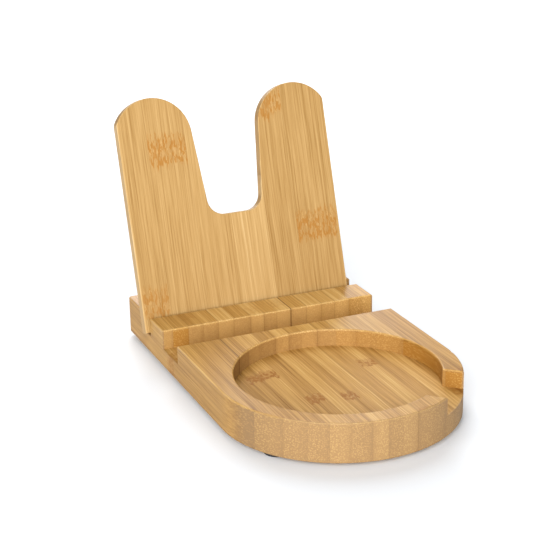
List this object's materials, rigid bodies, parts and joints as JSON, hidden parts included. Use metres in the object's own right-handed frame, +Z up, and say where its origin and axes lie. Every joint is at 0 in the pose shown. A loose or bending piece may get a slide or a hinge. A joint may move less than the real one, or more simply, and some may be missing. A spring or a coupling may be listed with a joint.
{
  "type": "phone stand",
  "caption": "Bamboo desk stand: a board with a round notched dish and a phone groove, and a loose forked back panel that leans in a slot behind it.",
  "frame": {"origin": "on the table plane, on the board's centre line in X and at the middle of the overall depth in Y", "axes": "+X to the right as seen from the dish end, +Y from the dish towards the back panel, +Z up"},
  "size_m": [0.1225, 0.2026, 0.1303],
  "materials": {
    "board_bamboo": "satin",
    "panel_bamboo": "satin",
    "foot_rubber": "matte"
  },
  "bodies": {
    "base": {"base_board": "board_bamboo", "foot_front_left": "foot_rubber", "foot_front_right": "foot_rubber", "foot_rear_left": "foot_rubber", "foot_rear_right": "foot_rubber"},
    "panel": {"back_panel": "panel_bamboo"}
  },
  "joints": [
    {"name": "panel_lift", "type": "slide", "parent": "base", "child": "panel", "axis": [0, 0.299, 0.9542], "range_m": [0, 0.02]}
  ]
}
